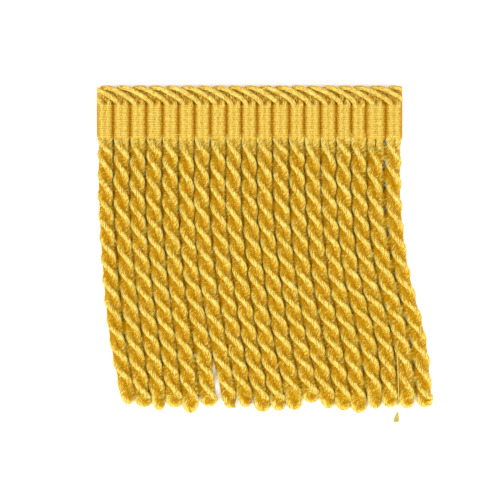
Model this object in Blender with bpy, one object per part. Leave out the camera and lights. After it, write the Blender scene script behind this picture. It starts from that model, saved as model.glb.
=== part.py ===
"""Cord fringe trim: a cut length of ribbed heading with a crossed loop edge above and a skirt of twisted cords below.

The trim lies face up. +X runs along the heading, +Y points to the loop edge, +Z out of the face, and z = 0 is the
flat back. The origin is the middle of the heading's back, under rib 10. Sizes are in millimetres and become metres
when a mesh is made.
"""

import math
from collections import namedtuple

import bmesh
import bpy
from mathutils import Vector

MM = 0.001

# The woven band: a cord's two plies lie side by side in each rib
BAND_HALF_HEIGHT = 7.45
ROOT_STRIP = 1.2
PARTING = 0.3
RIB_CREST = 4.7
RIB_PLY_GROOVE = 4.1
RIB_SHOULDER = 3.9
RIB_VALLEY = 2.5
ROUNDED_EDGE = 0.8

# The skirt: two-ply cords with an S twist, each a doubled yarn that ends in a loop
CORD_HALF_WIDTH = 3.05
CORD_HALF_THICK = 1.6
CORD_HALF_WAIST = 1.15
CORD_AXIS_HEIGHT = math.hypot(CORD_HALF_WIDTH, CORD_HALF_THICK)
ROOT_AXIS_HEIGHT = 2.3
ROOT_DEPTH_IN_STRIP = 0.6
RISE_LENGTH = 8.0
UNTWISTED_ROOT = 6.0
TWIST_PER_STEP = math.radians(54)
LOOP_TAPER = ((4.5, 1.0), (2.2, 0.92), (0.8, 0.68), (0.0, 0.36))

# The loop edge: yarns that rise behind the edge, turn over a crest and cross two ribs in front
LOOP_SIDES = 6
LOOP_HALF_WIDTH = 1.6
LOOP_HALF_THICK = 1.25
LOOP_RIBS_CROSSED = 2
LOOP_STATIONS = 10
END_OVERRUN = 3.0

Cord = namedtuple("Cord", "rib drift_quarter drift_half drift_three drift_end depth first_eye half_turn")

# One row a cord, from left to right: its rib's width, how far it drifts to the right at a quarter, a half, three
# quarters and all of its depth, that depth, the depth where its plies first lie side by side, and its half turn
CORDS = [Cord(*row) for row in (
    (7.45, 0.2, 2.0, 5.2, 11.4, 124.6, 7.9, 9.7),
    (7.95, 0.0, 2.4, 5.7, 10.9, 126.0, 9.3, 10.3),
    (7.50, -0.4, 2.0, 6.0, 10.1, 127.4, 11.6, 9.5),
    (7.60, -0.5, 2.1, 6.0, 9.7, 126.0, 7.9, 9.4),
    (7.35, -0.2, 2.3, 6.1, 9.8, 128.6, 10.2, 10.1),
    (7.55, 0.2, 1.9, 6.9, 11.1, 126.0, 13.5, 9.9),
    (7.35, -0.5, 2.0, 7.3, 13.3, 126.5, 9.3, 10.1),
    (7.50, -0.3, 2.6, 7.3, 13.2, 126.0, 12.6, 9.6),
    (6.95, -0.3, 2.9, 7.7, 14.1, 128.1, 10.2, 10.2),
    (7.30, 0.2, 3.1, 7.7, 14.4, 127.6, 13.5, 10.0),
    (6.90, 0.2, 3.4, 8.3, 14.6, 127.2, 9.3, 9.9),
    (8.10, 0.4, 3.0, 8.2, 15.1, 123.9, 7.4, 9.3),
    (6.90, 0.6, 3.0, 8.5, 15.4, 126.5, 10.7, 9.9),
    (7.55, 0.7, 3.5, 9.7, 15.3, 127.4, 13.9, 9.7),
    (7.40, 0.6, 3.6, 10.2, 15.0, 128.6, 13.5, 9.8),
    (6.95, 0.1, 3.6, 11.2, 15.1, 126.6, 8.8, 9.8),
    (6.65, 0.7, 4.1, 11.9, 15.4, 126.0, 13.5, 9.7),
    (9.45, -0.2, 4.4, 11.8, 15.0, 126.5, 4.6, 10.4),
    (7.55, 0.2, 4.0, 11.8, 15.0, 126.0, 11.6, 10.3),
)]
MIDDLE_RIB = 9


def rib_edges():
    """The x of each groove between ribs, both cut ends included, with the middle rib centred on x = 0."""
    edges = [0.0]
    for cord in CORDS:
        edges.append(edges[-1] + cord.rib)
    shift = (edges[MIDDLE_RIB] + edges[MIDDLE_RIB + 1]) / 2
    return [x - shift for x in edges]


EDGES = rib_edges()
CENTRES = [(a + b) / 2 for a, b in zip(EDGES, EDGES[1:])]


def rib_centre(index):
    """The centre of a rib; past the cut ends the ribs go on at the end rib's width."""
    if index < 0:
        return CENTRES[0] + index * CORDS[0].rib
    if index >= len(CENTRES):
        return CENTRES[-1] + (index - len(CENTRES) + 1) * CORDS[-1].rib
    return CENTRES[index]


def smooth_through(stops, values, t):
    """A smooth curve through values at the given stops (cubic Hermite with finite-difference slopes)."""
    slopes = []
    for i in range(len(stops)):
        low, high = max(i - 1, 0), min(i + 1, len(stops) - 1)
        slopes.append((values[high] - values[low]) / (stops[high] - stops[low]))
    i = max(k for k in range(len(stops) - 1) if stops[k] <= t or k == 0)
    gap = stops[i + 1] - stops[i]
    u = (t - stops[i]) / gap
    return (
        values[i] * (1 + 2 * u) * (1 - u) ** 2
        + slopes[i] * gap * u * (1 - u) ** 2
        + values[i + 1] * u * u * (3 - 2 * u)
        + slopes[i + 1] * gap * u * u * (u - 1)
    )


def new_object(name, bm, finish=None):
    """A closed mesh, given in millimetres, as an object in metres with its own material."""
    bmesh.ops.scale(bm, vec=(MM, MM, MM), verts=bm.verts)
    bmesh.ops.recalc_face_normals(bm, faces=bm.faces)
    mesh = bpy.data.meshes.new(name)
    bm.to_mesh(mesh)
    bm.free()
    obj = bpy.data.objects.new(name, mesh)
    bpy.context.scene.collection.objects.link(obj)
    if finish:
        mesh.materials.append(finish)
    return obj


def yarn_material(name, color, roughness):
    """A satin rayon yarn."""
    mat = bpy.data.materials.new(name)
    mat.use_nodes = True
    shader = mat.node_tree.nodes["Principled BSDF"]
    shader.inputs["Base Color"].default_value = (*color, 1.0)
    shader.inputs["Roughness"].default_value = roughness
    shader.inputs["Metallic"].default_value = 0.0
    return mat


def combine(obj, other, operation):
    """Joins another closed shape to the object, or keeps only what lies inside it, and removes the other shape."""
    boolean = obj.modifiers.new(operation.lower(), "BOOLEAN")
    boolean.operation = operation
    boolean.solver = "EXACT"
    boolean.use_self = True
    boolean.object = other
    bpy.context.view_layer.update()
    graph = bpy.context.evaluated_depsgraph_get()
    mesh = bpy.data.meshes.new_from_object(obj.evaluated_get(graph))
    obj.modifiers.clear()
    old = obj.data
    obj.data = mesh
    mesh.name = old.name
    bpy.data.meshes.remove(old)
    bpy.data.objects.remove(other)


def ribbed_bar(bm, y_low, y_high, low_scale=1.0, high_scale=1.0, overrun=0.0):
    """A bar of the band's ribbed section between two heights, flat at the back. An edge may be rounded down."""
    section = [(EDGES[0] - overrun, RIB_VALLEY)]
    for left, right in zip(EDGES, EDGES[1:]):
        width = right - left
        for share, height in (
            (0.12, RIB_SHOULDER),
            (0.28, RIB_CREST),
            (0.5, RIB_PLY_GROOVE),
            (0.72, RIB_CREST),
            (0.88, RIB_SHOULDER),
            (1.0, RIB_VALLEY),
        ):
            section.append((left + width * share, height))
    section[-1] = (EDGES[-1] + overrun, RIB_VALLEY)
    section += [(EDGES[-1] + overrun, 0.0), (EDGES[0] - overrun, 0.0)]
    low = [bm.verts.new((x, y_low, z * low_scale)) for x, z in section]
    high = [bm.verts.new((x, y_high, z * high_scale)) for x, z in section]
    bm.faces.new(low)
    bm.faces.new(high[::-1])
    for i in range(len(section)):
        j = (i + 1) % len(section)
        bm.faces.new((low[i], high[i], high[j], low[j]))


def tube(bm, rings):
    """A closed tube through rings of points, each the same number of points."""
    loops = [[bm.verts.new(point) for point in ring] for ring in rings]
    sides = len(rings[0])
    for a, b in zip(loops, loops[1:]):
        for i in range(sides):
            j = (i + 1) % sides
            bm.faces.new((a[i], b[i], b[j]))
            bm.faces.new((a[i], b[j], a[j]))
    bm.faces.new(loops[0])
    bm.faces.new(loops[-1][::-1])


def cord_axis(cord, root_x, depth):
    """A point of the cord's centreline at a depth below the band."""
    share = min(max(depth / cord.depth, 0.0), 1.0)
    drift = smooth_through(
        (0.0, 0.25, 0.5, 0.75, 1.0),
        (0.0, cord.drift_quarter, cord.drift_half, cord.drift_three, cord.drift_end),
        share,
    )
    rise = min(max(depth / RISE_LENGTH, 0.0), 1.0)
    rise = rise * rise * (3 - 2 * rise)
    height = ROOT_AXIS_HEIGHT + (CORD_AXIS_HEIGHT - ROOT_AXIS_HEIGHT) * rise
    return Vector((root_x + drift, -BAND_HALF_HEIGHT - depth, height))


def cord_turn(cord, depth):
    """How far the plies have turned at a depth: a multiple of pi where they lie side by side."""
    if depth >= cord.first_eye:
        return math.pi * (depth - cord.first_eye) / cord.half_turn
    if cord.first_eye < UNTWISTED_ROOT:
        return 0.0
    return math.pi * min((depth / cord.first_eye) - 1.0, 0.0)


def loop_taper(to_end):
    """The section's scale near the loop at the cord's end."""
    for (far, far_scale), (near, near_scale) in zip(LOOP_TAPER, LOOP_TAPER[1:]):
        if near <= to_end <= far:
            return near_scale + (far_scale - near_scale) * (to_end - near) / (far - near)
    return 1.0


def cord_depths(cord):
    """The depths of the cord's rings: one for each step of its twist, and those that round its end."""
    depths = [-ROOT_DEPTH_IN_STRIP, 0.8]
    fine = 0.05
    last_turn = cord_turn(cord, depths[-1])
    depth = depths[-1]
    while depth < cord.depth - LOOP_TAPER[0][0] - 1.0:
        depth += fine
        if cord_turn(cord, depth) - last_turn >= TWIST_PER_STEP or depth - depths[-1] > 4.0:
            depths.append(depth)
            last_turn = cord_turn(cord, depth)
    return depths + [cord.depth - to_end for to_end, _ in LOOP_TAPER]


def cord_rings(cord, root_x):
    """The twisted rings of one cord: two plies that meet in a waist, with four outer corners, none below z = 0."""
    shape = (
        (CORD_HALF_WIDTH, -CORD_HALF_THICK),
        (CORD_HALF_WIDTH, CORD_HALF_THICK),
        (0.0, CORD_HALF_WAIST),
        (-CORD_HALF_WIDTH, CORD_HALF_THICK),
        (-CORD_HALF_WIDTH, -CORD_HALF_THICK),
        (0.0, -CORD_HALF_WAIST),
    )
    rings = []
    for depth in cord_depths(cord):
        axis = cord_axis(cord, root_x, depth)
        ahead = cord_axis(cord, root_x, depth + 0.5) - cord_axis(cord, root_x, depth - 0.5)
        across = Vector((-ahead.y, ahead.x, 0.0)).normalized()
        turn = -cord_turn(cord, depth)
        scale = loop_taper(cord.depth - depth)
        u = across * math.cos(turn) + Vector((0.0, 0.0, 1.0)) * math.sin(turn)
        v = Vector((0.0, 0.0, 1.0)) * math.cos(turn) - across * math.sin(turn)
        ring = [axis + (u * a + v * b) * scale for a, b in shape]
        lift = max(0.0, -min(point.z for point in ring))
        rings.append([point + Vector((0.0, 0.0, lift)) for point in ring])
    return rings


def edge_loop_path(index):
    """Points of one edge yarn: up behind a rib's right ply, over the crest, and down in front to a rib two further."""
    start = rib_centre(index)
    span = rib_centre(index + LOOP_RIBS_CROSSED) - start
    return [
        Vector(point)
        for point in (
            (start + 1.9, 6.6, 1.6),
            (start + 1.9, 9.6, 1.45),
            (start + 1.5, 12.6, 1.45),
            (start + 0.6, 14.7, 1.9),
            (start + 0.9, 15.35, 3.1),
            (start + span * 0.22, 14.9, 3.75),
            (start + span * 0.45, 13.3, 3.8),
            (start + span * 0.72, 10.7, 3.7),
            (start + span - 1.7, 8.4, 3.3),
            (start + span - 1.3, 6.6, 2.9),
        )
    ]


def edge_loop_rings(index):
    """The rings of one edge yarn, oval and wider than it is thick."""
    points = edge_loop_path(index)
    stops = list(range(len(points)))
    places = [i * (len(points) - 1) / (LOOP_STATIONS - 1) for i in range(LOOP_STATIONS)]

    def at(t):
        return Vector([smooth_through(stops, [p[k] for p in points], t) for k in range(3)])

    rings = []
    for t in places:
        low, high = max(t - 0.1, 0.0), min(t + 0.1, stops[-1])
        along = (at(high) - at(low)).normalized()
        flat = Vector((along.x, along.y, 0.0)).normalized()
        across = Vector((-flat.y, flat.x, 0.0))
        out = along.cross(across).normalized()
        ring = []
        for k in range(LOOP_SIDES):
            angle = 2 * math.pi * (k + 0.5) / LOOP_SIDES
            ring.append(
                at(t)
                + across * LOOP_HALF_WIDTH * math.cos(angle)
                + out * LOOP_HALF_THICK * math.sin(angle)
            )
        rings.append(ring)
    return rings


def make_heading_band():
    """The ribbed band between the two root strips."""
    finish = yarn_material("woven_rayon_heading", (0.76, 0.45, 0.04), 0.45)
    bm = bmesh.new()
    inner = BAND_HALF_HEIGHT - ROOT_STRIP - PARTING
    ribbed_bar(bm, -inner, inner)
    return new_object("heading_band", bm, finish)


def make_cord_skirt():
    """The band's lowest strip with the cords that leave it, all one piece."""
    finish = yarn_material("twisted_rayon_cord", (0.80, 0.50, 0.05), 0.42)
    bm = bmesh.new()
    ribbed_bar(bm, -BAND_HALF_HEIGHT, -BAND_HALF_HEIGHT + ROOT_STRIP, low_scale=ROUNDED_EDGE)
    skirt = new_object("cord_skirt", bm, finish)
    bm = bmesh.new()
    for cord, root_x in zip(CORDS, CENTRES):
        tube(bm, cord_rings(cord, root_x))
    combine(skirt, new_object("cords", bm), "UNION")
    return skirt


def make_loop_edge():
    """The band's topmost strip with the crossed yarns that leave it, cut flush at both ends of the trim."""
    finish = yarn_material("rayon_loop_edge", (0.80, 0.50, 0.05), 0.42)
    bm = bmesh.new()
    ribbed_bar(
        bm, BAND_HALF_HEIGHT - ROOT_STRIP, BAND_HALF_HEIGHT, high_scale=ROUNDED_EDGE, overrun=END_OVERRUN
    )
    edge = new_object("loop_edge", bm, finish)
    for index in range(-LOOP_RIBS_CROSSED, len(CORDS)):
        bm = bmesh.new()
        tube(bm, edge_loop_rings(index))
        combine(edge, new_object("edge_yarn", bm), "UNION")
    bm = bmesh.new()
    bmesh.ops.create_cube(bm, size=1.0)
    length = EDGES[-1] - EDGES[0]
    middle = (EDGES[-1] + EDGES[0]) / 2
    bmesh.ops.scale(bm, vec=(length, 40.0, 20.0), verts=bm.verts)
    bmesh.ops.translate(bm, vec=(middle, BAND_HALF_HEIGHT, 5.0), verts=bm.verts)
    combine(edge, new_object("cut_length", bm), "INTERSECT")
    return edge


def main():
    for obj in list(bpy.data.objects):
        bpy.data.objects.remove(obj)
    make_heading_band()
    make_loop_edge()
    make_cord_skirt()


main()
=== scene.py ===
# %% [markdown]
# # Cord fringe trim
# A cut length of gold bullion fringe lies face up: a ribbed woven heading, a crossed loop edge above it and a skirt of
# two-ply twisted cords that end in loops. The solids in the frame give every piece its place, and the cells below dress
# them in yarn. Sizes are in millimetres until a mesh is made.

import math

import bpy
import numpy as np
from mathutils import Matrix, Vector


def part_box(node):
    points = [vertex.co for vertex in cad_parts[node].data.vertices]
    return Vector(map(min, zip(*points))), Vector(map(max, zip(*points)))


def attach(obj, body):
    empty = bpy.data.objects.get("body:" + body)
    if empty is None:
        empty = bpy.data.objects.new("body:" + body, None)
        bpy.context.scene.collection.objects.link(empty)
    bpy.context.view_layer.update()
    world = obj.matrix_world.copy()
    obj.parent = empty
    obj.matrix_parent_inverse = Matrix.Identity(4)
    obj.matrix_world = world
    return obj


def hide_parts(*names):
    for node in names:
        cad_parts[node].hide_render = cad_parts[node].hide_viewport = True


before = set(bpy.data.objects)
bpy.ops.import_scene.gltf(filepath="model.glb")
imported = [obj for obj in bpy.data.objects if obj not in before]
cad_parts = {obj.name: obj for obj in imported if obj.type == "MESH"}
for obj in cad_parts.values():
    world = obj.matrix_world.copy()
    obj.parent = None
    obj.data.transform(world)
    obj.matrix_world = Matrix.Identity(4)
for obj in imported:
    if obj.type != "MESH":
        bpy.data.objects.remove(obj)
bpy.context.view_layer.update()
bpy.ops.object.select_all(action="DESELECT")
MM = 0.001
print("nodes:", sorted(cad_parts))

# %% [markdown]
# ## Camera
# The trim is seen face on, so the camera looks straight down on it. A long lens far away keeps the cords upright at the
# picture's edges, as a product photographer does with flat goods. One pixel of a 500 pixel picture is 0.465 mm of trim.

# %% Camera
PIXEL = 0.465
PICTURE = 500
ORIGIN_PIXEL = (249.3, 121.0)
LENS = 150.0
SENSOR = 36.0
CORD_AXIS_HEIGHT = 3.7


def from_pixel(px, py):
    """A place on the trim, in millimetres, for a pixel of the picture."""
    return ((px - ORIGIN_PIXEL[0]) * PIXEL, (ORIGIN_PIXEL[1] - py) * PIXEL)


view_x, view_y = from_pixel(PICTURE / 2, PICTURE / 2)
distance = PICTURE * PIXEL * LENS / SENSOR
bpy.ops.object.camera_add(
    location=(view_x * MM, view_y * MM, (distance + CORD_AXIS_HEIGHT) * MM), rotation=(0.0, 0.0, 0.0)
)
camera = bpy.context.object
camera.data.lens = LENS
camera.data.sensor_width = SENSOR
bpy.context.scene.camera = camera
print("camera", round(distance), "mm above the trim")

# %% [markdown]
# ## The cords' table
# Every cord is a little different, as on a real fringe: each has its own lean, length and place where its plies turn.
# One row a cord keeps those sizes together, the first eight of them the same as in the solids. The last three say how
# the loop at its end lies: turned by an angle in degrees from lying flat, how far it is drawn out, and how wide it is.

# %% Table of cords
COLUMNS = (
    "rib", "quarter", "half", "three", "end", "depth", "first_eye", "half_turn", "loop_turn", "loop_long", "loop_half"
)
ROWS = (
    (7.45, 0.2, 2.0, 5.2, 11.4, 124.6, 7.9, 9.7, 45, 1.2, 1.75),
    (7.95, 0.0, 2.4, 5.7, 10.9, 126.0, 9.3, 10.3, 5, 1.0, 2.05),
    (7.50, -0.4, 2.0, 6.0, 10.1, 127.4, 11.6, 9.5, 50, 1.3, 1.7),
    (7.60, -0.5, 2.1, 6.0, 9.7, 126.0, 7.9, 9.4, 15, 1.0, 2.0),
    (7.35, -0.2, 2.3, 6.1, 9.8, 128.6, 10.2, 10.1, 20, 1.5, 1.95),
    (7.55, 0.2, 1.9, 6.9, 11.1, 126.0, 13.5, 9.9, 0, 1.0, 2.05),
    (7.35, -0.5, 2.0, 7.3, 13.3, 126.5, 9.3, 10.1, 50, 1.2, 1.7),
    (7.50, -0.3, 2.6, 7.3, 13.2, 126.0, 12.6, 9.6, 45, 1.1, 1.8),
    (6.95, -0.3, 2.9, 7.7, 14.1, 128.1, 10.2, 10.2, 20, 1.1, 2.15),
    (7.30, 0.2, 3.1, 7.7, 14.4, 127.6, 13.5, 10.0, 40, 1.1, 1.9),
    (6.90, 0.2, 3.4, 8.3, 14.6, 127.2, 9.3, 9.9, 20, 1.1, 2.0),
    (8.10, 0.4, 3.0, 8.2, 15.1, 123.9, 7.4, 9.3, 5, 1.0, 2.05),
    (6.90, 0.6, 3.0, 8.5, 15.4, 126.5, 10.7, 9.9, 40, 1.1, 1.85),
    (7.55, 0.7, 3.5, 9.7, 15.3, 127.4, 13.9, 9.7, 20, 1.1, 2.0),
    (7.40, 0.6, 3.6, 10.2, 15.0, 128.6, 13.5, 9.8, 20, 1.1, 2.0),
    (6.95, 0.1, 3.6, 11.2, 15.1, 126.6, 8.8, 9.8, 45, 1.1, 1.85),
    (6.65, 0.7, 4.1, 11.9, 15.4, 126.0, 13.5, 9.7, 15, 1.0, 2.0),
    (9.45, -0.2, 4.4, 11.8, 15.0, 126.5, 4.6, 10.4, 30, 1.1, 1.9),
    (7.55, 0.2, 4.0, 11.8, 15.0, 126.0, 11.6, 10.3, 15, 1.0, 2.0),
)
cords = [dict(zip(COLUMNS, row)) for row in ROWS]
MIDDLE_RIB = 9
rib_edges = np.concatenate(([0.0], np.cumsum([cord["rib"] for cord in cords])))
rib_edges -= (rib_edges[MIDDLE_RIB] + rib_edges[MIDDLE_RIB + 1]) / 2
rib_centres = (rib_edges[:-1] + rib_edges[1:]) / 2
heading_low, heading_high = (np.array(corner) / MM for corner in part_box("heading_band"))
skirt_low, skirt_high = (np.array(corner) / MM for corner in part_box("cord_skirt"))
edge_low, edge_high = (np.array(corner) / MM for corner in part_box("loop_edge"))
BAND_HALF_HEIGHT = 7.45
print(len(cords), "cords on a heading of", round(float(rib_edges[-1] - rib_edges[0]), 1), "mm")
print("sizes of the solids:", *((high - low).round(1) for low, high in (
    (heading_low, heading_high), (skirt_low, skirt_high), (edge_low, edge_high))))

# %% [markdown]
# ## A tube of yarn
# All of the yarn here is a tube whose section is worked out ring by ring, because its fine ridges have to run the way
# that the filaments do, and a curve's bevel can't turn them against the twist. The tube keeps a UV map in real lengths,
# along the yarn and around it, and a value of painted light and shade a point: painted shade where it is low in the
# valleys, painted highlight where it is high on the crests. On loose hairs the same value gives only their tone.

# %% Helper for tubes
def tube(name, rings, along, girth, crest, material):
    """A closed tube through rings of points in millimetres, with a UV map in metres and a value of painted light and
    shade a point.
    """
    count, sides = rings.shape[:2]
    i, j = np.meshgrid(np.arange(count - 1), np.arange(sides), indexing="ij")
    k = (j + 1) % sides
    quads = np.stack((i * sides + j, i * sides + k, (i + 1) * sides + k, (i + 1) * sides + j), axis=-1)
    quads = quads.reshape(-1, 4)
    first = list(range(sides))[::-1]
    last = list(range((count - 1) * sides, count * sides))
    mesh = bpy.data.meshes.new(name)
    mesh.from_pydata((rings.reshape(-1, 3) * MM).tolist(), [], quads.tolist() + [first, last])
    step = girth / sides
    u = np.stack((along[i], along[i], along[i + 1], along[i + 1]), axis=-1).reshape(-1)
    v = np.stack((j, j + 1, j + 1, j), axis=-1).reshape(-1) * step
    uv = np.zeros((len(mesh.loops), 2))
    uv[: len(u)] = np.stack((u, v), axis=-1) * MM
    mesh.uv_layers.new(name="yarn").data.foreach_set("uv", uv.ravel())
    # This attribute carries painted light and shade, from shade in the valleys to highlight on the crests
    mesh.attributes.new("crest", "FLOAT", "POINT").data.foreach_set("value", crest.ravel())
    mesh.shade_smooth()
    mesh.materials.append(material)
    obj = bpy.data.objects.new(name, mesh)
    bpy.context.scene.collection.objects.link(obj)
    return obj


def unit(vectors):
    """The same vectors, one long."""
    return vectors / np.linalg.norm(vectors, axis=-1, keepdims=True)


def smooth_through(stops, values, at):
    """A smooth curve through values at stops (cubic Hermite with finite-difference slopes), at many places."""
    stops, values, at = (np.asarray(a, dtype=float) for a in (stops, values, at))
    low = np.maximum(np.arange(len(stops)) - 1, 0)
    high = np.minimum(np.arange(len(stops)) + 1, len(stops) - 1)
    slopes = (values[high] - values[low]) / (stops[high] - stops[low])
    i = np.clip(np.searchsorted(stops, at, side="right") - 1, 0, len(stops) - 2)
    gap = stops[i + 1] - stops[i]
    u = (at - stops[i]) / gap
    return (
        values[i] * (1 + 2 * u) * (1 - u) ** 2
        + slopes[i] * gap * u * (1 - u) ** 2
        + values[i + 1] * u * u * (3 - 2 * u)
        + slopes[i + 1] * gap * u * u * (u - 1)
    )


# %% [markdown]
# ## Viscose rayon yarn
# Bullion is spun from viscose rayon filaments, smooth and round, which is why it shines like silk. The dye is the same
# all through, yet crests look lemon and valleys orange, because light that bounces between yarns takes on more of their
# colour. That light and shade is painted into the base colour, from a painted deep shade in the valleys to a painted
# highlight on the crests, and the gloss is painted down in the shade. Filaments are streaks in the yarn's own UV map,
# in true millimetres, and sheen adds the soft bloom.

# %% Yarn materials
def linear(hex_colour):
    """A linear colour from an sRGB hex one."""
    parts = [int(hex_colour[i:i + 2], 16) / 255 for i in (1, 3, 5)]
    return tuple(c / 12.92 if c <= 0.04045 else ((c + 0.055) / 1.055) ** 2.4 for c in parts) + (1.0,)


def add(tree, kind, inputs=None, **settings):
    """Adds a node, sets its properties, and fills its inputs with values or with other nodes' outputs."""
    node = tree.nodes.new(kind)
    for key, value in settings.items():
        setattr(node, key, value)
    for key, value in (inputs or {}).items():
        if isinstance(value, bpy.types.NodeSocket):
            tree.links.new(value, node.inputs[key])
        else:
            node.inputs[key].default_value = value
    return node


FILAMENT_ALONG = 3.4
FILAMENT_ACROSS = 0.6
GLINT_ALONG = 1.3
GLINT_ACROSS = 0.55
RAYON_IOR = 1.53
GLOSS = 0.58
GLOW = 0.4
GLOW_RADIUS = (1.2 * MM, 0.5 * MM, 0.1 * MM)
SHEEN = 0.2
SHEEN_ROUGHNESS = 0.4
SHINE_COLOUR = "#ffdc70"
# Stops of the painted light and shade, from deep shade in the valleys to highlight on the crests
DEEP_SHADE_STOP, SHADE_STOP, BODY_STOP, LIGHT_STOP = 0.05, 0.32, 0.62, 0.95


def rayon(name, light, body, shade, valley, roughness=0.38, filament_depth=0.32, streaks=2.0, fineness=1.0):
    """Lustrous rayon yarn: painted from deep shade to highlight as the painted light value rises, broken up by streaks
    of filament.
    """
    material = bpy.data.materials.new(name)
    material.use_nodes = True
    tree = material.node_tree
    tree.nodes.clear()
    uv = add(tree, "ShaderNodeUVMap", uv_map="yarn").outputs["UV"]
    streak_at = add(tree, "ShaderNodeMapping", {
        "Vector": uv,
        "Scale": (fineness / (FILAMENT_ALONG * MM), fineness / (FILAMENT_ACROSS * MM), 1.0)})
    streak = add(tree, "ShaderNodeTexNoise", {
        "Vector": streak_at.outputs[0], "Scale": 1.0, "Detail": 2.0, "Roughness": 0.6}, noise_dimensions="2D")
    glint_at = add(tree, "ShaderNodeMapping", {
        "Vector": uv,
        "Scale": (fineness / (GLINT_ALONG * MM), fineness / (GLINT_ACROSS * MM), 1.0)})
    glint = add(tree, "ShaderNodeTexNoise", {
        "Vector": glint_at.outputs[0], "Scale": 1.0, "Detail": 1.0, "Roughness": 0.5}, noise_dimensions="2D")
    tone = add(tree, "ShaderNodeMath", {0: streak.outputs["Fac"], 1: glint.outputs["Fac"]}, operation="ADD")
    crest = add(tree, "ShaderNodeAttribute", attribute_name="crest")
    broken = add(tree, "ShaderNodeMath", {
        0: tone.outputs[0], 1: streaks, 2: crest.outputs["Fac"]}, operation="MULTIPLY_ADD")
    place = add(tree, "ShaderNodeMath", {0: broken.outputs[0], 1: streaks}, operation="SUBTRACT")
    ramp = add(tree, "ShaderNodeValToRGB", {"Fac": place.outputs[0]})
    stops = ramp.color_ramp.elements
    stops[0].position, stops[0].color = DEEP_SHADE_STOP, linear(valley)
    stops[1].position, stops[1].color = LIGHT_STOP, linear(light)
    stops.new(SHADE_STOP).color = linear(shade)
    stops.new(BODY_STOP).color = linear(body)
    # Gloss is painted down in the shaded valleys, where little light reaches
    gloss = add(tree, "ShaderNodeMath", {0: crest.outputs["Fac"], 1: GLOSS}, operation="MULTIPLY")
    relief = add(tree, "ShaderNodeBump", {
        "Height": tone.outputs[0], "Strength": 1.0, "Distance": filament_depth * MM})
    shader = add(tree, "ShaderNodeBsdfPrincipled", {
        "Base Color": ramp.outputs["Color"], "Roughness": roughness, "IOR": RAYON_IOR,
        "Specular IOR Level": gloss.outputs[0],
        "Subsurface Weight": GLOW, "Subsurface Radius": GLOW_RADIUS, "Subsurface Scale": 1.0,
        "Specular Tint": linear(SHINE_COLOUR), "Sheen Weight": SHEEN, "Sheen Roughness": SHEEN_ROUGHNESS,
        "Sheen Tint": linear(SHINE_COLOUR), "Normal": relief.outputs[0]})
    add(tree, "ShaderNodeOutputMaterial", {"Surface": shader.outputs[0]})
    return material


# Continuous-filament viscose, twisted softly, so crests keep a bright satin streak, partly real gloss and partly a
# painted highlight; the colours run from painted highlight down to painted shade
cord_finish = rayon("twisted_rayon_cord", "#d8ca74", "#caac3c", "#be920e", "#b07c02", streaks=2.2)
print("materials:", [m.name for m in bpy.data.materials if m.use_nodes])

# %% [markdown]
# ## The twisted cords
# A bullion cord is one thick yarn, twisted hard and then let double back on itself, so two plies wind round each other
# and a loop closes the end. Each cord is built in that way: one path runs down the first ply, round the loop and up
# the second. A ply's section is a narrow oval that stands out from the cord's axis, and its ridges turn against the
# cord's twist, so that they lie along the cord as they do on the real one. At the root the plies rise to the ribs.

# %% Shape of a cord
PLY_OFFSET = 1.65
PLY_OUT = 2.05
PLY_IN = 1.6
PLY_SIDE = 1.18
PLY_GIRTH = math.pi * ((PLY_OUT + PLY_IN) / 2 + PLY_SIDE)
PLY_UNTWIST = 2.1
RIDGES = 10
RIDGE_POINTS = (-1.0, 0.2, 0.6, 0.2)
RIDGE_DEPTH = 0.14
SWELL = 0.02
SWELL_LENGTH = 7.0
RINGS_A_TURN = 10
UNTWISTED_ROOT = 6.0
ROOT_START = -2.0
ROOT_EASE = 1.3
ROOT_RISE = 2.0
ROOT_REACH = 8.0
LOOP_EASE = 5.0
LOOP_RINGS = 14
LOOP_FILL = 0.6
STOPS = (0.0, 0.25, 0.5, 0.75, 1.0)


def turn_at(cord, depth):
    """How far the plies have turned at each depth, easing into the way that the loop lies at the end."""
    first, half = cord["first_eye"], cord["half_turn"]
    early = 0.0 if first < UNTWISTED_ROOT else -1.0
    slow_start = (np.clip(depth, 0, first) / first) ** ROOT_EASE
    turn = np.where(depth < first, early * (1 - slow_start), (depth - first) / half) * math.pi
    start = cord["loop_start"] - LOOP_EASE
    regular = math.pi * (cord["loop_start"] - first) / half
    wanted = math.radians(cord["loop_turn"])
    wanted += math.pi * round((regular - wanted) / math.pi)
    return turn + (wanted - regular) * smooth_share(np.clip((depth - start) / LOOP_EASE, 0, 1))


def drift_at(cord, depth):
    """How far the cord has leaned to the right at each depth."""
    return smooth_through(
        STOPS, (0.0, cord["quarter"], cord["half"], cord["three"], cord["end"]), np.clip(depth / cord["depth"], 0, 1)
    )


def half_gap(index, depth):
    """Half the way from a cord's axis to its neighbours on the left and on the right."""
    places = [rib_centres[i] + drift_at(cords[i], depth) for i in range(len(cords))]
    left = places[index] - places[index - 1] if index else np.zeros(len(depth))
    right = places[index + 1] - places[index] if index + 1 < len(cords) else np.zeros(len(depth))
    return left / 2, right / 2


def axis_at(cord, root_x, depth, turn):
    """The cord's centreline, which lies as low as its plies let it."""
    drift = drift_at(cord, depth)
    upright = np.abs(np.sin(turn))
    before = np.maximum.accumulate(upright)
    after = np.maximum.accumulate(upright[::-1])[::-1]
    root = np.clip(1 - depth / ROOT_REACH, 0, 1) ** 2
    height = PLY_SIDE + PLY_OFFSET * np.minimum(before, after) + ROOT_RISE * root
    return np.stack((root_x + drift, -BAND_HALF_HEIGHT - depth, height), axis=-1)


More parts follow.
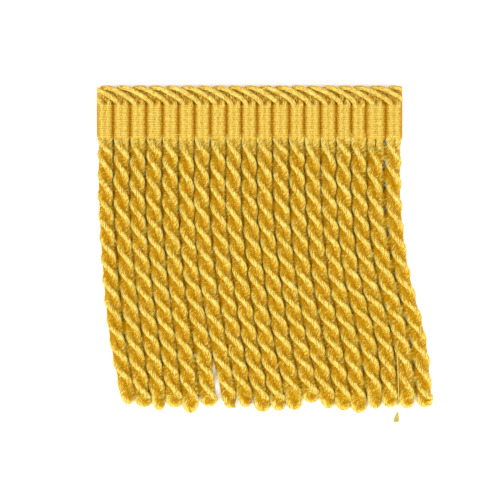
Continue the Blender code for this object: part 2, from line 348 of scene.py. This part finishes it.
def ply_radius(angle):
    """The ply's section: angle 0 points away from the cord's axis, where the ply is roundest."""
    even = (PLY_OUT + PLY_IN) / 4 + PLY_SIDE / 2
    flat = (PLY_OUT + PLY_IN) / 4 - PLY_SIDE / 2
    return even + (PLY_OUT - PLY_IN) / 2 * np.cos(angle) + flat * np.cos(2 * angle)


def smooth_share(share):
    """A share from 0 to 1 that starts and ends gently."""
    return share * share * (3 - 2 * share)


def there_and_back(values, between):
    """Values down the first ply, a value all round the loop, and the same values back up the second ply."""
    loop = np.repeat(np.asarray(between, dtype=float)[None], LOOP_RINGS, axis=0)
    return np.concatenate((values, loop, values[::-1]))


def yarn_path(cord, axis, turn, closing):
    """The yarn's centreline down one ply, round the loop and up the other, and the way out from the cord's axis."""
    along = unit(np.gradient(axis, axis=0))
    across = unit(np.cross(along, (0.0, 0.0, 1.0)) * -1.0)
    across = np.where(across[:, :1] < 0, -across, across)
    rise = unit(np.cross(across, along) * -1.0)
    rise = np.where(rise[:, 2:] < 0, -rise, rise)
    angle = -turn[:, None]
    out = across * np.cos(angle) + rise * np.sin(angle)
    offset = (PLY_OFFSET + (cord["loop_half"] - PLY_OFFSET) * smooth_share(closing))[:, None]
    theta = np.linspace(0, math.pi, LOOP_RINGS + 2)[1:-1, None]
    bend = axis[-1] + cord["loop_half"] * (
        out[-1] * np.cos(theta) + along[-1] * np.sin(theta) * cord["loop_long"]
    )
    bend_out = unit(out[-1] * np.cos(theta) * cord["loop_long"] + along[-1] * np.sin(theta))
    centre = np.concatenate((axis + out * offset, bend, (axis - out * offset)[::-1]))
    return centre, np.concatenate((out, bend_out, -out[::-1]))


# %% [markdown]
# The painted light value is high on the rims, which are furthest from the cord's axis, and low in the core between the
# plies: painted highlight on the rims and painted shade in the core. It is painted darker low down, lighter near the
# root and darker in the ridges' grooves, and a little higher on the side of a ply that leads down the cord, as a
# painted highlight where the filaments catch the light.

# %% Painted light and shade of a cord
CORE = 1.6
RIM = 3.7
LOOP_CORE = 2.1
LOOP_RIM = 3.35
PAINTED_LIGHT_POWER = 1.15
LIT_MOST = 0.85
LEAD_HIGHLIGHT = 0.3
SINK = 5.0
SUNK_SHADE = 0.36
ROOT_LIGHT = 0.62
ROOT_LIGHT_START = 1.3
RIDGE_SHADE = 0.3


def cord_crest(rings, middle, deep, closing, lead, ridge):
    """Painted light and shade at each point of a cord, from 0 in deep shade to 1 in highlight."""
    reach = np.linalg.norm(rings - middle[:, None, :], axis=-1)
    # Lower parts are painted darker, as shade
    sunk = np.clip((rings[..., 2] - middle[:, None, 2] + SINK) / SINK, 0, 1)
    core = CORE + (LOOP_CORE - CORE) * closing
    rim = RIM + (LOOP_RIM - RIM) * closing
    share = np.clip((reach - core) / (rim - core), 0, 1) ** PAINTED_LIGHT_POWER
    lit = LIT_MOST * share * sunk + SUNK_SHADE * (1 - sunk)
    # A painted highlight on the side of a ply that leads down the cord
    lit = np.clip(lit + LEAD_HIGHLIGHT * lead, 0, LIT_MOST)
    # Near the root the cord is painted lighter
    root = ROOT_LIGHT * np.clip(ROOT_LIGHT_START - deep / ROOT_REACH, 0, 1)[:, None]
    return np.clip(np.maximum(lit, root) + RIDGE_SHADE * ridge, 0, 1)


# %% [markdown]
# Low down the plies spread under their own weight. Where they cross, the lower ply widens as far as the waist of the
# cord, and close to the table a thin skirt of yarn meets the next cord's. The skirt is painted darker, as shade, so
# that shaded yarn and not the board shows in the gaps. Only the gap between the sixth and the seventh cord opens near
# the ends. All is then pressed a little flat, and the underside rests on the table.

# %% Spread of a cord
SPREAD = 3.0
SPREAD_FROM = 3.2
SPREAD_TO = 1.8
WAIST = 3.0
SKIRT = 8.0
SKIRT_SHADE = 0.45
SKIRT_SHADE_OVER = 0.6
SKIRT_FROM = 1.3
SKIRT_TO = 0.7
SKIRT_OVERLAP = 0.2
SKIRT_STOP = 1.0
SKIRT_EASE = 5.0
SKIRT_OPEN = 3.3
OPEN_CORD = 5
OPEN_FROM = 103.0
OPEN_OVER = 6.0
ROOT_SMOOTH = 5.0
REST_HEIGHT = 0.05
FLATTENED = 0.8


def skirt_reach(index, deep):
    """How far the skirt reaches from the cord's axis to the left and to the right."""
    gaps = [gap + SKIRT_OVERLAP for gap in half_gap(index, deep)]
    if index in (OPEN_CORD, OPEN_CORD + 1):
        open_side = OPEN_CORD + 1 - index
        gaps[open_side] += (SKIRT_OPEN - gaps[open_side]) * np.clip((deep - OPEN_FROM) / OPEN_OVER, 0, 1)
    return [gap[:, None] for gap in gaps]


def spread_cord(index, rings, centre, middle, deep, crossing, stop, crest):
    """Widens the low parts of a cord, paints the skirt darker as shade, and presses the whole cord flat."""
    grown = np.clip(deep / ROOT_SMOOTH, 0, 1)[:, None]
    low = np.clip((SPREAD_FROM - rings[..., 2]) / (SPREAD_FROM - SPREAD_TO), 0, 1)
    low *= crossing[:, None] ** 0.5 * grown
    aside = rings[..., 0] - middle[:, None, 0]
    wider = np.clip(aside + SPREAD * low * (rings[..., 0] - centre[:, None, 0]), -WAIST, WAIST)
    aside = np.where(np.abs(aside) < WAIST, wider, aside)
    left, right = skirt_reach(index, deep)
    skirt = np.clip((SKIRT_FROM - rings[..., 2]) / (SKIRT_FROM - SKIRT_TO), 0, 1)
    skirt *= np.clip((stop - SKIRT_STOP - deep) / SKIRT_EASE, 0, 1)[:, None] * grown
    inside = (aside > -left) & (aside < right)
    wider = np.where(inside, np.clip(aside * (1 + SKIRT * skirt), -left, right), aside)
    # Painted shade: the further the skirt is drawn out, the darker it is painted
    crest *= 1 - SKIRT_SHADE * np.clip(np.abs(wider - aside) / SKIRT_SHADE_OVER, 0, 1)
    rings[..., 0] = middle[:, None, 0] + wider
    rings[..., 2] = np.maximum(rings[..., 2] * FLATTENED, REST_HEIGHT)


# %% The cords
def cord_piece(name, index, cord, root_x, rng):
    """One cord as one yarn: down the first ply, round the loop, up the second."""
    cord["loop_start"] = cord["depth"] - PLY_OUT - cord["loop_long"] * cord["loop_half"]
    start, stop = ROOT_START, cord["loop_start"]
    depth = np.linspace(start, stop, int((stop - start) / cord["half_turn"] * RINGS_A_TURN))
    turn = turn_at(cord, depth)
    axis = axis_at(cord, root_x, depth, turn)
    closing = np.clip((depth - stop + LOOP_EASE) / LOOP_EASE, 0, 1)
    centre, normal = yarn_path(cord, axis, turn, closing)
    tangent = unit(np.gradient(centre, axis=0))
    normal = unit(normal - tangent * (normal * tangent).sum(axis=1, keepdims=True))
    side = np.cross(tangent, normal)
    lengths = np.concatenate(([0.0], np.cumsum(np.linalg.norm(np.diff(centre, axis=0), axis=1))))
    corners = len(RIDGE_POINTS) * RIDGES
    angle = (PLY_UNTWIST * math.pi * lengths / cord["half_turn"])[:, None]
    angle = angle + 2 * math.pi * np.arange(corners)[None, :] / corners
    waves = 0.5 * np.sin(lengths[:, None] / rng.uniform(1.2, 3.0, RIDGES) + rng.uniform(0, 6, RIDGES))
    ridge = np.repeat(rng.uniform(0.5, 1.3, RIDGES) + waves, len(RIDGE_POINTS), axis=1)
    ridge *= np.tile(RIDGE_POINTS, RIDGES)
    swell = 1 + SWELL * np.sin(lengths / SWELL_LENGTH + rng.uniform(0, 6))[:, None]
    closing = there_and_back(closing, 1.0)[:, None]
    inward = (0.5 - 0.5 * np.cos(angle)) ** 2
    radius = ply_radius(angle) * swell + RIDGE_DEPTH * ridge + LOOP_FILL * closing * inward
    rings = (
        centre[:, None, :]
        + normal[:, None, :] * (radius * np.cos(angle))[..., None]
        + side[:, None, :] * (radius * np.sin(angle))[..., None]
    )
    middle = there_and_back(axis, axis[-1])
    deep = there_and_back(depth, depth[-1])
    upright = np.abs(np.sin(turn))
    lead = np.concatenate((upright, np.zeros(LOOP_RINGS), -upright[::-1]))[:, None] * np.sin(angle)
    crest = cord_crest(rings, middle, deep, closing, lead, ridge)
    spread_cord(index, rings, centre, middle, deep, there_and_back(upright, 0.0), stop, crest)
    return tube(name, rings, lengths + rng.uniform(0, 500), PLY_GIRTH, crest, cord_finish)


rng = np.random.default_rng(7)
cord_pieces = []
for index, (cord, root_x) in enumerate(zip(cords, rib_centres)):
    piece = cord_piece(f"cord_{index + 1:02d}", index, cord, root_x, rng)
    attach(piece, "root")
    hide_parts("cord_skirt")
    cord_pieces.append(piece)
print(len(cord_pieces), "cords,", sum(2 * len(p.data.polygons) for p in cord_pieces), "triangles")

# %% [markdown]
# ## The heading
# In the heading the two plies of each cord lie side by side as a rib, and fine warp threads cross them. The ground is a
# grid that is raised into ribs and then extruded down to a flat back. The warp threads are drawn over it one by one,
# because they dip into each groove and catch the light there. Light and shade are painted from the ribs' height, with
# painted shade in the grooves and in the dip between the plies, and the warp threads are painted a little lighter than
# the ground, as a painted highlight.

# %% Ground of the heading
RIB_STEPS = 24
RIB_CREST = 4.55
RIB_VALLEY = 2.5
RIB_FLATNESS = 2.3
RIB_FULLNESS = 0.85
PLY_DIP = 0.6
PLY_DIP_WIDTH = 0.14
EDGE_ROUNDING = 0.9
EDGE_DROP = 0.22
ROUND_START = 0.4
BACK_HEIGHT = 0.3
# Painted light and shade on the heading: full shade below this height, and the ground a little darker than the warps
GROOVE_SHADE_HEIGHT = 2.8
GROUND_SHADE = -0.12
GROUND_ROWS = 28


def rib_height(x):
    """The height of the ribs' face at each x: a rounded rib of two plies with a shallow dip between them."""
    x = np.clip(np.asarray(x, dtype=float), rib_edges[0] + 1e-6, rib_edges[-1] - 1e-6)
    i = np.searchsorted(rib_edges, x, side="right") - 1
    share = (x - rib_edges[i]) / (rib_edges[i + 1] - rib_edges[i])
    round_rib = np.clip(1 - np.abs(2 * share - 1) ** RIB_FLATNESS, 0, 1) ** RIB_FULLNESS
    dip = np.exp(-(((share - 0.5) / PLY_DIP_WIDTH) ** 2))
    return RIB_VALLEY + (RIB_CREST - RIB_VALLEY) * round_rib - PLY_DIP * dip


# The same viscose, laid straight and bound tightly, so its streaks are finer and its shine is softer; its colours run
# from painted highlight down to painted shade
heading_finish = rayon(
    "woven_rayon_heading", "#e4d076", "#d0ae4a", "#c0901e", "#aa7a0e",
    roughness=0.42, filament_depth=0.16, streaks=1.0, fineness=1.7,
)
heading_length = float(rib_edges[-1] - rib_edges[0])
heading_middle = float(rib_edges[-1] + rib_edges[0]) / 2


def dress_flat(obj, painted_lift):
    """Lays the yarn UV map along Y and across X, and paints light and shade from the rib's height, shifted a little."""
    mesh = obj.data
    at = np.empty(3 * len(mesh.vertices))
    mesh.vertices.foreach_get("co", at)
    at = at.reshape(-1, 3)
    corner_vertex = np.empty(len(mesh.loops), dtype=np.int32)
    mesh.loops.foreach_get("vertex_index", corner_vertex)
    layer = mesh.uv_layers.get("yarn") or mesh.uv_layers.new(name="yarn")
    layer.data.foreach_set("uv", at[corner_vertex][:, (1, 0)].ravel())
    # Painted shade in the grooves and the dip between plies, painted highlight on the ribs' tops
    rise = LIT_MOST * np.clip((rib_height(at[:, 0] / MM) - GROOVE_SHADE_HEIGHT) / (RIB_CREST - GROOVE_SHADE_HEIGHT), 0, 1)
    attribute = mesh.attributes.get("crest") or mesh.attributes.new("crest", "FLOAT", "POINT")
    attribute.data.foreach_set("value", rise + painted_lift)


def ribbed_ground(name, y_low, y_high, rows, height, finish):
    """A strip over all of the ribs with a raised face, height(x, y) in millimetres, and a flat back."""
    bpy.ops.object.select_all(action="DESELECT")
    bpy.ops.mesh.primitive_grid_add(
        x_subdivisions=RIB_STEPS * len(cords), y_subdivisions=rows, size=1.0,
        location=(heading_middle * MM, (y_low + y_high) / 2 * MM, 0.0),
    )
    strip = bpy.context.object
    strip.name = strip.data.name = name
    strip.scale = (heading_length * MM, (y_high - y_low) * MM, 1.0)
    bpy.ops.object.transform_apply(location=True, rotation=True, scale=True)
    places = np.empty(3 * len(strip.data.vertices))
    strip.data.vertices.foreach_get("co", places)
    places = places.reshape(-1, 3)
    places[:, 2] = height(places[:, 0] / MM, places[:, 1] / MM) * MM
    strip.data.vertices.foreach_set("co", places.ravel())
    bpy.ops.object.mode_set(mode="EDIT")
    bpy.ops.mesh.select_all(action="SELECT")
    bpy.ops.mesh.extrude_region_move(TRANSFORM_OT_translate={"value": (0.0, 0.0, -0.01)})
    bpy.ops.transform.resize(value=(1.0, 1.0, 0.0), center_override=(0.0, 0.0, BACK_HEIGHT * MM))
    bpy.ops.mesh.select_all(action="SELECT")
    bpy.ops.mesh.normals_make_consistent(inside=False)
    bpy.ops.object.mode_set(mode="OBJECT")
    dress_flat(strip, GROUND_SHADE)
    strip.data.materials.append(finish)
    return strip


def heading_height(x, y):
    """The ribs' height, rounded down past the band's upper and lower edges."""
    past = np.clip((np.abs(y) - BAND_HALF_HEIGHT + ROUND_START) / (ROUND_START + EDGE_ROUNDING), 0, 1)
    return rib_height(x) * (1 - EDGE_DROP * past ** 2)


ground = ribbed_ground(
    "heading_ground", -BAND_HALF_HEIGHT - EDGE_ROUNDING, BAND_HALF_HEIGHT + EDGE_ROUNDING, GROUND_ROWS,
    heading_height, heading_finish,
)
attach(ground, "root")
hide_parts("heading_band")
print("ground:", len(ground.data.polygons), "faces")

# %% Warp threads
WARP_PITCH = 0.8
WARP_THICK = 0.55
WARP_STEPS = 16
# The warp threads are painted a little lighter than the ground, as a painted highlight
WARP_HIGHLIGHT = 0.08
WARP_WANDER = 0.05
WARP_WANDER_LENGTH = 9.0
WARP_LIFT = 0.02
warp_count = int(2 * BAND_HALF_HEIGHT / WARP_PITCH)


def warp_rings(y, x, z, radius, sides=6):
    """Rings of one warp thread that runs along X at a height z."""
    centre = np.stack((x, np.broadcast_to(y, x.shape), z), axis=-1)
    tangent = unit(np.gradient(centre, axis=0))
    side = np.broadcast_to(np.array((0.0, 1.0, 0.0)), centre.shape)
    normal = np.cross(side, tangent) * -1.0
    angle = 2 * math.pi * np.arange(sides) / sides
    return (
        centre[:, None, :]
        + normal[:, None, :] * (radius * np.cos(angle))[None, :, None]
        + np.cross(tangent, normal)[:, None, :] * (radius * np.sin(angle))[None, :, None]
    )


warp_x = np.linspace(rib_edges[0], rib_edges[-1], WARP_STEPS * len(cords) + 1)
face_threads = []
for number in range(warp_count):
    y = -BAND_HALF_HEIGHT + (number + 0.5) * 2 * BAND_HALF_HEIGHT / warp_count
    wander = WARP_WANDER * np.sin(warp_x / WARP_WANDER_LENGTH + rng.uniform(0, 6))
    face_z = heading_height(warp_x, np.full_like(warp_x, y)) + WARP_LIFT
    rings = warp_rings(y + wander, warp_x, face_z, WARP_THICK / 2)
    crest = np.zeros(rings.shape[:2])
    face_threads.append(
        tube("warp", rings, warp_x + rng.uniform(0, 500), math.pi * WARP_THICK, crest, heading_finish)
    )


def joined(name, pieces):
    """Several pieces as one, under a new name."""
    bpy.ops.object.select_all(action="DESELECT")
    for piece in pieces:
        piece.select_set(True)
    bpy.context.view_layer.objects.active = pieces[0]
    bpy.ops.object.join()
    whole = bpy.context.object
    whole.name = whole.data.name = name
    return whole


warps = joined("heading_warps", face_threads)
dress_flat(warps, WARP_HIGHLIGHT)
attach(warps, "root")
print("warps:", warp_count, "threads,", 2 * len(warps.data.polygons), "triangles")

# %% [markdown]
# ## The crossed loop edge
# Above the heading each yarn climbs behind one rib, turns over at the top and crosses two ribs in front on its way
# down. A tube with the cords' ridges follows that path, wider and thinner where it climbs behind the rib, and a low
# ribbed strip in the yarn's colours, painted as shade, closes the edge behind the yarns. The yarns are painted lighter
# high up and darker low down and in their ridges' grooves, as painted light and shade.

# %% Loop edge
EDGE_HALF_WIDTH = 1.1
EDGE_HALF_THICK = 1.3
BACK_WIDER = 1.3
BACK_THINNER = 0.45
BACK_STOP = 3.0
BACK_SHADE = 0.45
EDGE_CROSSED = 2
EDGE_RINGS = 40
EDGE_RIDGES = 12
EDGE_TWIST = 0.25
EDGE_GIRTH = math.pi * 3.0
EDGE_SHADE = 0.2
EDGE_LIT = 0.65
EDGE_LIT_FROM = 2.2
EDGE_LIT_OVER = 3.0
EDGE_BACK_START = 0.2
EDGE_BACK_END = 6.6
EDGE_BACK_ROWS = 8
EDGE_BACK_LOW = 0.9
EDGE_BACK_RIBS = 0.35


def rib_centre(index):
    """The centre of a rib; past the cut ends the ribs go on at the end rib's width."""
    if index < 0:
        return rib_centres[0] + index * cords[0]["rib"]
    if index >= len(rib_centres):
        return rib_centres[-1] + (index - len(rib_centres) + 1) * cords[-1]["rib"]
    return rib_centres[index]


def edge_path(index):
    """Points of one edge yarn, in millimetres."""
    start = rib_centre(index)
    span = rib_centre(index + EDGE_CROSSED) - start
    return np.array((
        (start + 1.9, 6.4, 3.0),
        (start + 1.9, 8.4, 3.0),
        (start + 1.4, 10.6, 1.5),
        (start + 0.3, 13.0, 1.2),
        (start - 1.3, 14.9, 1.6),
        (start - 0.7, 15.4, 2.6),
        (start + span * 0.14, 15.3, 3.4),
        (start + span * 0.3, 14.4, 3.8),
        (start + span * 0.48, 13.0, 3.85),
        (start + span * 0.74, 10.6, 3.7),
        (start + span - 1.7, 8.4, 3.4),
        (start + span - 1.3, 6.4, 3.0),
    ))


# The same viscose, softly twisted, with a paler painted highlight on its crests than the cords
edge_finish = rayon("rayon_edge_yarn", "#e8d478", "#d2ae3e", "#c08e16", "#a66e04")
edge_yarns = []
for index in range(-EDGE_CROSSED, len(cords)):
    points = edge_path(index)
    stops = np.arange(len(points))
    at = np.linspace(0, len(points) - 1, EDGE_RINGS)
    centre = np.stack([smooth_through(stops, points[:, k], at) for k in range(3)], axis=-1)
    tangent = unit(np.gradient(centre, axis=0))
    flat = unit(tangent * np.array((1.0, 1.0, 0.0)))
    across = np.stack((-flat[:, 1], flat[:, 0], np.zeros(len(flat))), axis=-1)
    out = unit(np.cross(tangent, across))
    lengths = np.concatenate(([0.0], np.cumsum(np.linalg.norm(np.diff(centre, axis=0), axis=1))))
    corners = EDGE_RIDGES * len(RIDGE_POINTS)
    angle = EDGE_TWIST * lengths[:, None] + 2 * math.pi * np.arange(corners)[None, :] / corners
    ridge = np.tile(RIDGE_POINTS, EDGE_RIDGES) * RIDGE_DEPTH
    behind = np.exp(-((at - BACK_STOP) ** 2))[:, None]
    half_width = EDGE_HALF_WIDTH * (1 + BACK_WIDER * behind)
    half_thick = EDGE_HALF_THICK * (1 - BACK_THINNER * behind)
    rings = (
        centre[:, None, :]
        + across[:, None, :] * ((half_width + ridge) * np.cos(angle))[..., None]
        + out[:, None, :] * ((half_thick + ridge) * np.sin(angle))[..., None]
    )
    # Painted light and shade: lighter high up, darker low down and in the ridges' grooves
    crest = EDGE_SHADE + EDGE_LIT * np.clip((rings[..., 2] - EDGE_LIT_FROM) / EDGE_LIT_OVER, 0, 1) ** PAINTED_LIGHT_POWER
    crest = np.clip(crest + RIDGE_SHADE * np.tile(RIDGE_POINTS, EDGE_RIDGES), 0, 1)
    edge_yarns.append(tube(
        f"edge_yarn_{index}", rings, lengths + rng.uniform(0, 500), EDGE_GIRTH, crest, edge_finish
    ))
edge_back = ribbed_ground(
    "edge_back", BAND_HALF_HEIGHT + EDGE_BACK_START, BAND_HALF_HEIGHT + EDGE_BACK_END, EDGE_BACK_ROWS,
    lambda x, y: EDGE_BACK_LOW + EDGE_BACK_RIBS * rib_height(x), edge_finish,
)
# The strip behind the yarns is painted in shade
edge_back.data.attributes["crest"].data.foreach_set("value", np.full(len(edge_back.data.vertices), BACK_SHADE))
loop_edge = joined("edge_yarns", edge_yarns + [edge_back])
bpy.ops.object.mode_set(mode="EDIT")
for side, end in ((-1.0, rib_edges[0]), (1.0, rib_edges[-1])):
    bpy.ops.mesh.select_all(action="SELECT")
    bpy.ops.mesh.bisect(
        plane_co=(float(end) * MM, 0.0, 0.0), plane_no=(side, 0.0, 0.0), clear_outer=True, use_fill=True
    )
bpy.ops.object.mode_set(mode="OBJECT")
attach(loop_edge, "root")
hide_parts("loop_edge")
print("loop edge:", 2 * len(loop_edge.data.polygons), "triangles")

# %% [markdown]
# ## Loose threads
# A few threads don't lie still: short warp ends glint on the heading, one thread hangs down between two cords and ends
# in a small tuft, and the end of the seventh loop is a little frayed. Their places are pixels of the picture, and a
# warp end has its left, its right and its height.

# %% Loose threads
LOOSE_WARPS = (
    (121, 127, 132.4), (121.5, 126, 134.2), (148, 154, 118.2), (148, 156, 120.8), (149, 155, 123.4), (166, 182, 134.4)
)
LOOSE_THICK = 0.35
LOOSE_LIFT = 0.25
loose = []
for left_pixel, right_pixel, y_pixel in LOOSE_WARPS:
    (left_x, y), (right_x, _) = from_pixel(left_pixel, y_pixel), from_pixel(right_pixel, y_pixel)
    x = np.linspace(left_x, right_x, 16)
    rings = warp_rings(y, x, heading_height(x, np.full_like(x, y)) + LOOSE_LIFT, LOOSE_THICK / 2)
    # The loose warp ends are painted at full highlight, as a painted glint
    loose.append(tube("loose_warp", rings, x + 60, math.pi * LOOSE_THICK, np.ones(rings.shape[:2]), heading_finish))
loose_warps = joined("loose_warps", loose)
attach(loose_warps, "root")


def hair(name, points, thick, crest, rings_count=14, sides=6):
    """A thin loose thread through points in millimetres, thinner towards its end."""
    points = np.array(points, dtype=float)
    at = np.linspace(0, len(points) - 1, rings_count)
    centre = np.stack([smooth_through(np.arange(len(points)), points[:, k], at) for k in range(3)], axis=-1)
    tangent = unit(np.gradient(centre, axis=0))
    side = unit(np.cross(tangent, (0.1, 0.2, 1.0)))
    normal = np.cross(side, tangent)
    angle = 2 * math.pi * np.arange(sides) / sides
    radius = (thick / 2 * np.linspace(1.0, 0.5, rings_count))[:, None, None]
    rings = centre[:, None, :] + radius * (
        normal[:, None, :] * np.cos(angle)[None, :, None] + side[:, None, :] * np.sin(angle)[None, :, None]
    )
    crest = np.full(rings.shape[:2], crest)
    return tube(name, rings, np.linspace(0, HAIR_LENGTH, rings_count), math.pi * thick, crest, cord_finish)


HAIR_LENGTH = 20.0
THREAD_THICK = 0.6
TUFT_THICK = 0.35
TUFT_HAIRS = 11
FRAY_HAIRS = 14
THREAD_END_PIXEL = (398.5, 414.0)
FRAYED_PIXEL = (231.5, 408.0)
thread_x, thread_y = from_pixel(*THREAD_END_PIXEL)
hairs = [hair("thread", (
    (thread_x - 0.6, thread_y + 30, 2.0), (thread_x - 0.3, thread_y + 22, 3.6), (thread_x, thread_y + 12, 3.4),
    (thread_x + 0.1, thread_y + 5, 1.4), (thread_x, thread_y, 0.4)), THREAD_THICK, 0.9, rings_count=30)]
for number in range(TUFT_HAIRS):
    fan = -2.2 + 2.6 * number / (TUFT_HAIRS - 1)
    hairs.append(hair("tuft", (
        (thread_x, thread_y + 0.8, 0.4), (thread_x + fan * 0.7, thread_y - 1.8, 0.35 + 0.5 * rng.random()),
        (thread_x + fan, thread_y - 4.1 - 0.4 * rng.random(), 0.3)), TUFT_THICK, rng.uniform(0.5, 0.9)))
frayed_x, frayed_y = from_pixel(*FRAYED_PIXEL)
for number in range(FRAY_HAIRS):
    lean = rng.uniform(-1.8, 2.2)
    hairs.append(hair("fray", (
        (frayed_x + lean * 0.5, frayed_y + 2.4, 2.0), (frayed_x + lean * 0.9, frayed_y + 0.6, 2.6),
        (frayed_x + lean * 1.1, frayed_y - 0.5 * rng.random(), 1.2 * rng.random() + 0.4)), TUFT_THICK,
        rng.uniform(0.2, 0.6), rings_count=8))
loose_threads = joined("loose_threads", hairs)
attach(loose_threads, "root")
print("loose threads:", len(loose) + len(hairs))

# %% [markdown]
# ## Surface and light
# The trim lies on a plain white board under soft light from three large lamps: the strongest at the left, one at the
# right and a weak one below the loops.

# %% Stage
bpy.ops.mesh.primitive_plane_add(size=3.0, location=(0.0, 0.0, -0.0001))
floor = bpy.context.object
floor.name = "floor"
# Matt white card
board = bpy.data.materials.new("white_card")
board.use_nodes = True
board.node_tree.nodes["Principled BSDF"].inputs["Base Color"].default_value = linear("#ffffff")
board.node_tree.nodes["Principled BSDF"].inputs["Roughness"].default_value = 0.9
floor.data.materials.append(board)
AIM = (0.0, -0.05, 0.0)
for name, place, size, power in (
    ("key", (-0.62, -0.02, 0.52), 1.1, 9.4),
    ("fill", (0.6, -0.2, 0.52), 1.1, 7.8),
    ("low", (0.1, -0.65, 0.5), 0.8, 3.4),
):
    bpy.ops.object.light_add(type="AREA", location=place)
    lamp = bpy.context.object
    lamp.name = name
    lamp.data.size = size
    lamp.data.energy = power
    aim = np.array(AIM) - np.array(place)
    lamp.rotation_euler = (
        math.atan2(math.hypot(aim[0], aim[1]), -aim[2]), 0.0, math.atan2(aim[1], aim[0]) - math.pi / 2
    )
world = bpy.data.worlds.new("studio")
world.use_nodes = True
world.node_tree.nodes["Background"].inputs["Color"].default_value = linear("#fff2dc")
world.node_tree.nodes["Background"].inputs["Strength"].default_value = 0.35
bpy.context.scene.world = world
bpy.context.scene.view_settings.view_transform = "Standard"
